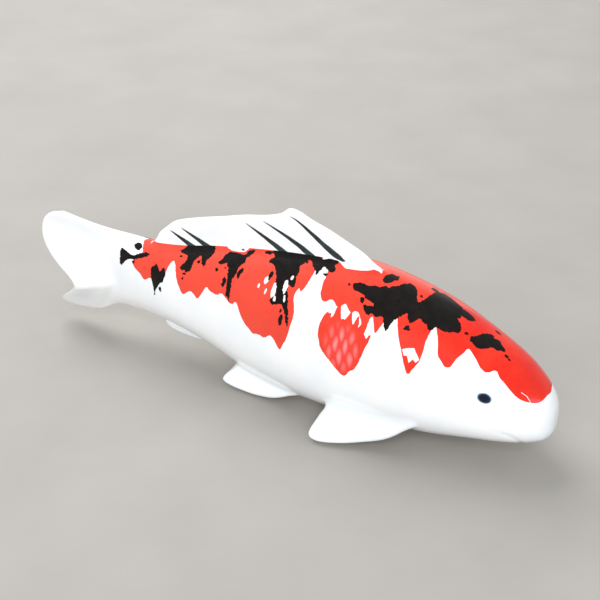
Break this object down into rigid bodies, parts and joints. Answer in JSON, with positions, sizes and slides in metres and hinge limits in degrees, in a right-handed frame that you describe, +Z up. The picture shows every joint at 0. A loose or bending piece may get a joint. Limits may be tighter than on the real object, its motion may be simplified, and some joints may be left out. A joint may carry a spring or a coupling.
{
  "type": "porcelain koi ornament",
  "caption": "Hollow glazed porcelain koi on a bare foot ring, with luted dorsal, tail, anal and paired fins, and with red and black on-glaze patches",
  "frame": {"origin": "on the table below the middle of the overall length, on the plane of symmetry of the body", "axes": "+X toward the nose, +Y toward the fish's left side, +Z up"},
  "size_m": [0.3001, 0.083, 0.1027],
  "materials": {
    "white_glaze": "clear gloss glaze on white porcelain",
    "bare_porcelain": "unglazed ground foot",
    "red_enamel": "glossy fired on-glaze enamel",
    "black_enamel": "glossy fired on-glaze enamel",
    "eye_enamel": "glossy fired raised enamel"
  },
  "bodies": {
    "root": {"body_shell": "white_glaze", "foot_ring": "bare_porcelain", "dorsal_fin": "white_glaze", "tail_fin": "white_glaze", "anal_fin": "white_glaze", "right_pectoral_fin": "white_glaze", "left_pectoral_fin": "white_glaze", "right_pelvic_fin": "white_glaze", "left_pelvic_fin": "white_glaze", "right_eye": "eye_enamel", "left_eye": "eye_enamel", "red_head_transfer": "red_enamel", "red_shoulder_transfer_right": "red_enamel", "red_shoulder_transfer_left": "red_enamel", "red_saddle_transfer_right": "red_enamel", "red_saddle_transfer_left": "red_enamel", "red_flank_transfer_right": "red_enamel", "red_flank_transfer_left": "red_enamel", "black_shoulder_transfer": "black_enamel", "black_nape_transfer": "black_enamel", "black_saddle_transfer_right": "black_enamel", "black_saddle_transfer_left": "black_enamel", "black_waist_transfer_right": "black_enamel", "black_waist_transfer_left": "black_enamel", "black_loin_transfer_right": "black_enamel", "black_loin_transfer_left": "black_enamel", "black_peduncle_transfer_right": "black_enamel", "black_peduncle_transfer_left": "black_enamel", "black_tail_root_transfer_right": "black_enamel", "black_tail_root_transfer_left": "black_enamel", "dorsal_ray_transfers_right": "black_enamel", "dorsal_ray_transfers_left": "black_enamel"}
  },
  "joints": []
}
